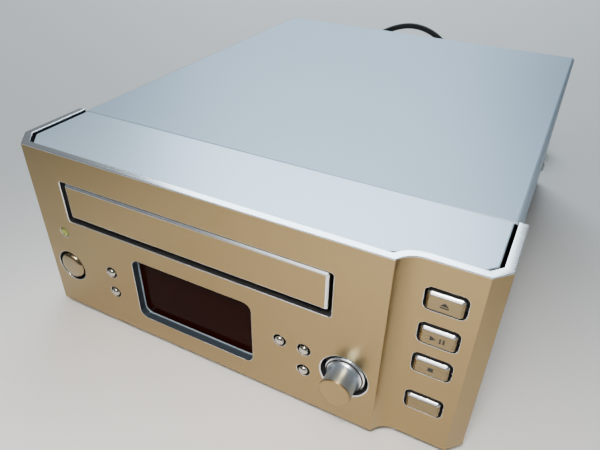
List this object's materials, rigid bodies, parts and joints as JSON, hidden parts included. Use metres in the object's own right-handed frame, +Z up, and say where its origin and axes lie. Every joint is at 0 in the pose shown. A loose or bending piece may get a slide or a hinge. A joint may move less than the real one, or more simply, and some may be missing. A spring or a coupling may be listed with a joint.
{
  "type": "disc player",
  "caption": "Compact component disc player with front loading tray, display window, jog knob, recessed keys, sheet metal cover and mains lead",
  "frame": {"origin": "on the standing plane, below the middle of the case's box, controls and rear sockets included and the mains lead left out", "axes": "+Z up, -Y out of the front panel, +X to the right of someone facing the front"},
  "size_m": [0.215, 0.3707, 0.093],
  "materials": {
    "champagne_panel": "satin anodised, lines along the height",
    "champagne_keys": "satin with bright bevels",
    "chrome_caps": "polished",
    "jog_metal": "polished barrel, satin face",
    "silver_moulding": "satin silver lacquer",
    "cover_paint": "fine satin silver paint",
    "zinc_sheet": "plain zinc plated sheet",
    "black_moulding": "fine satin",
    "white_moulding": "smooth natural",
    "smoked_window": "polished",
    "display_glass": "dark, unlit",
    "green_lens": "polished",
    "circuit_board": "laminate",
    "black_rubber": "matt",
    "laminated_iron": "dark varnished"
  },
  "bodies": {
    "player": {"front_panel": "champagne_panel", "inner_bezel": "silver_moulding", "display_window": "smoked_window", "front_board": "circuit_board", "key_board": "circuit_board", "display_tube": "display_glass", "indicator_lens": "green_lens", "jog_encoder": "zinc_sheet", "top_cover": "cover_paint", "chassis_pan": "zinc_sheet", "foot_front_left": "black_rubber", "foot_front_right": "black_rubber", "foot_rear_left": "black_rubber", "foot_rear_right": "black_rubber", "rear_panel": "zinc_sheet", "cord_grommet": "black_rubber", "line_jacks": "black_moulding", "antenna_terminals": "black_moulding", "main_board": "circuit_board", "heat_sink": "laminated_iron", "tuner_can": "zinc_sheet", "power_transformer": "laminated_iron", "flat_cable": "white_moulding", "loader_frame": "black_moulding", "drive_belt": "black_rubber", "loading_motor": "zinc_sheet", "clamp_bridge": "zinc_sheet", "loader_bracket_left": "zinc_sheet", "loader_bracket_right": "zinc_sheet", "mains_cord": "black_rubber", "cord_coil": "black_rubber", "mains_plug": "black_moulding", "cord_tie": "white_moulding"},
    "tray": {"disc_tray": "black_moulding", "tray_door": "champagne_panel"},
    "tray_gear": {"tray_gear": "white_moulding"},
    "belt_wheel": {"belt_wheel": "white_moulding"},
    "motor_pulley": {"motor_pulley": "white_moulding"},
    "traverse": {"traverse": "black_moulding", "guide_rod_left": "chrome_caps", "guide_rod_right": "chrome_caps", "spindle_motor": "zinc_sheet", "sled_motor": "zinc_sheet"},
    "cam_slider": {"cam_slider": "white_moulding"},
    "turntable": {"turntable": "black_moulding"},
    "clamper": {"clamper": "black_moulding"},
    "pickup_sled": {"pickup_sled": "black_moulding"},
    "sled_gear": {"sled_gear": "white_moulding"},
    "jog_shaft": {"jog_shaft": "zinc_sheet"},
    "jog_knob": {"jog_knob": "jog_metal"},
    "power_button": {"power_button": "chrome_caps"},
    "timer_button": {"timer_button": "chrome_caps"},
    "display_button": {"display_button": "chrome_caps"},
    "tuning_down_button": {"tuning_down_button": "chrome_caps"},
    "tuning_up_button": {"tuning_up_button": "chrome_caps"},
    "mode_button": {"mode_button": "chrome_caps"},
    "eject_key": {"eject_key": "champagne_keys"},
    "play_pause_key": {"play_pause_key": "champagne_keys"},
    "stop_key": {"stop_key": "champagne_keys"},
    "band_key": {"band_key": "champagne_keys"}
  },
  "joints": [
    {"name": "tray_slide", "type": "slide", "parent": "player", "child": "tray", "axis": [0, -1, 0], "range_m": [0, 0.124]},
    {"name": "tray_gear_spin", "type": "hinge", "parent": "player", "child": "tray_gear", "pos_m": [0.0272, -0.0989, 0.056], "axis": [0, 0, 1], "continuous": true},
    {"name": "belt_wheel_spin", "type": "hinge", "parent": "player", "child": "belt_wheel", "pos_m": [0.0112, -0.0989, 0.056], "axis": [0, 0, 1], "continuous": true},
    {"name": "motor_pulley_spin", "type": "hinge", "parent": "player", "child": "motor_pulley", "pos_m": [-0.0248, -0.0989, 0.0602], "axis": [0, 0, 1], "continuous": true},
    {"name": "traverse_tilt", "type": "hinge", "parent": "player", "child": "traverse", "pos_m": [-0.0146, 0.0181, 0.0548], "axis": [1, 0, 0], "range_deg": [0, 6]},
    {"name": "cam_slide", "type": "slide", "parent": "player", "child": "cam_slider", "axis": [1, 0, 0], "range_m": [0, 0.02]},
    {"name": "turntable_spin", "type": "hinge", "parent": "traverse", "child": "turntable", "pos_m": [-0.0146, -0.0614, 0.07], "axis": [0, 0, 1], "continuous": true},
    {"name": "clamper_spin", "type": "hinge", "parent": "player", "child": "clamper", "pos_m": [-0.0146, -0.0614, 0.078], "axis": [0, 0, 1], "continuous": true},
    {"name": "pickup_slide", "type": "slide", "parent": "traverse", "child": "pickup_sled", "axis": [0, 1, 0], "range_m": [0, 0.032]},
    {"name": "sled_gear_spin", "type": "hinge", "parent": "traverse", "child": "sled_gear", "pos_m": [0.0223, -0.0229, 0.062], "axis": [0, 0, 1], "continuous": true},
    {"name": "jog_push", "type": "slide", "parent": "player", "child": "jog_shaft", "axis": [0, 1, 0], "range_m": [0, 0.0006], "stiffness_N_per_m": 500},
    {"name": "jog_spin", "type": "hinge", "parent": "jog_shaft", "child": "jog_knob", "pos_m": [0.0587, -0.137, 0.0296], "axis": [0, 1, 0], "continuous": true},
    {"name": "power_button_push", "type": "slide", "parent": "player", "child": "power_button", "axis": [0, 1, 0], "range_m": [0, 0.001], "stiffness_N_per_m": 400},
    {"name": "timer_button_push", "type": "slide", "parent": "player", "child": "timer_button", "axis": [0, 1, 0], "range_m": [0, 0.0008], "stiffness_N_per_m": 400},
    {"name": "display_button_push", "type": "slide", "parent": "player", "child": "display_button", "axis": [0, 1, 0], "range_m": [0, 0.0008], "stiffness_N_per_m": 400},
    {"name": "tuning_down_button_push", "type": "slide", "parent": "player", "child": "tuning_down_button", "axis": [0, 1, 0], "range_m": [0, 0.0008], "stiffness_N_per_m": 400},
    {"name": "tuning_up_button_push", "type": "slide", "parent": "player", "child": "tuning_up_button", "axis": [0, 1, 0], "range_m": [0, 0.0008], "stiffness_N_per_m": 400},
    {"name": "mode_button_push", "type": "slide", "parent": "player", "child": "mode_button", "axis": [0, 1, 0], "range_m": [0, 0.0008], "stiffness_N_per_m": 400},
    {"name": "eject_key_push", "type": "slide", "parent": "player", "child": "eject_key", "axis": [0, 1, 0], "range_m": [0, 0.0008], "stiffness_N_per_m": 400},
    {"name": "play_pause_key_push", "type": "slide", "parent": "player", "child": "play_pause_key", "axis": [0, 1, 0], "range_m": [0, 0.0008], "stiffness_N_per_m": 400},
    {"name": "stop_key_push", "type": "slide", "parent": "player", "child": "stop_key", "axis": [0, 1, 0], "range_m": [0, 0.0008], "stiffness_N_per_m": 400},
    {"name": "band_key_push", "type": "slide", "parent": "player", "child": "band_key", "axis": [0, 1, 0], "range_m": [0, 0.0008], "stiffness_N_per_m": 400}
  ],
  "couplings": [
    {"joint": "tray_gear_spin", "follows": "tray_slide", "rad_per_m": -125},
    {"joint": "belt_wheel_spin", "follows": "tray_slide", "rad_per_m": 291.67},
    {"joint": "motor_pulley_spin", "follows": "tray_slide", "rad_per_m": 1045.5},
    {"joint": "cam_slide", "follows": "traverse_tilt", "m_per_rad": 0.19099},
    {"joint": "clamper_spin", "follows": "turntable_spin", "ratio": 1},
    {"joint": "sled_gear_spin", "follows": "pickup_slide", "rad_per_m": -156.25}
  ]
}
